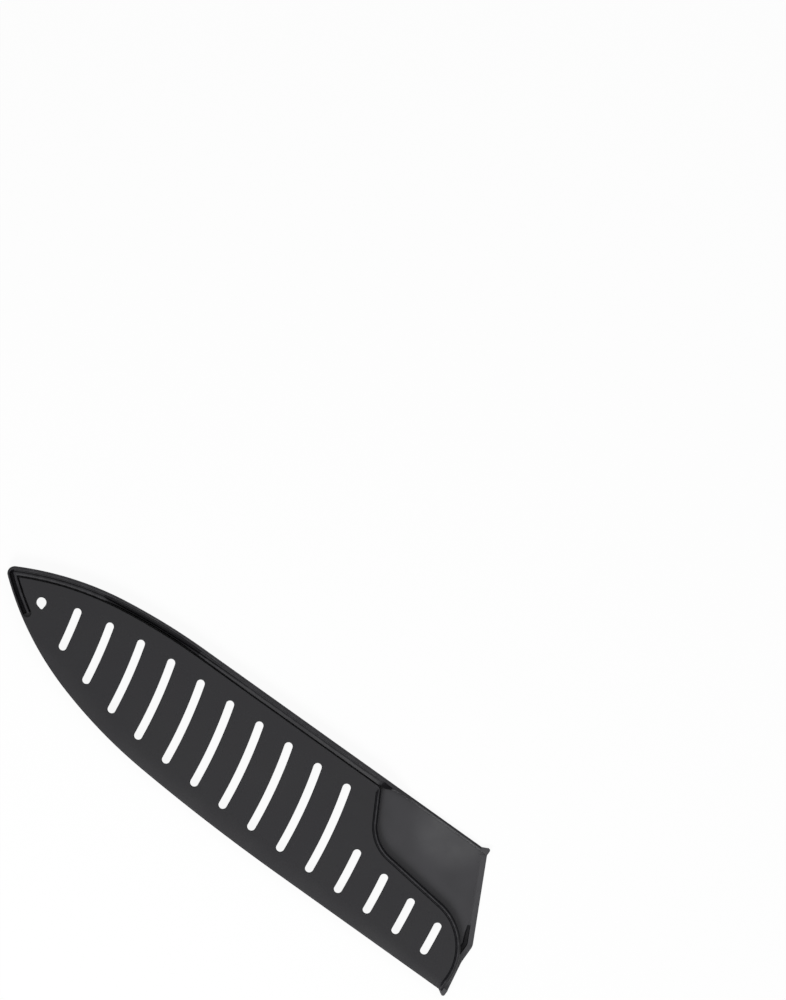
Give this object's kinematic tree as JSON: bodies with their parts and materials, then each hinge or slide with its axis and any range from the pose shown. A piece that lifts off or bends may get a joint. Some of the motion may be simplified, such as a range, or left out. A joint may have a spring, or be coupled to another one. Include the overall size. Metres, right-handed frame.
{
  "type": "knife blade guard",
  "caption": "Flat slotted sheath for a chef's knife, with a rounded nose, a raised spine rail, a scooped front edge and an open mouth.",
  "frame": {"origin": "middle of the guard's bounding box, on the plane of its flat back face", "axes": "+X from the closed nose to the open mouth, +Y towards the spine side, +Z out of the front cover"},
  "size_m": [0.216, 0.0528, 0.0056],
  "materials": {
    "shell": "matte",
    "cover": "fine matte texture"
  },
  "bodies": {
    "root": {"back_shell": "shell", "front_cover": "cover"}
  },
  "joints": []
}
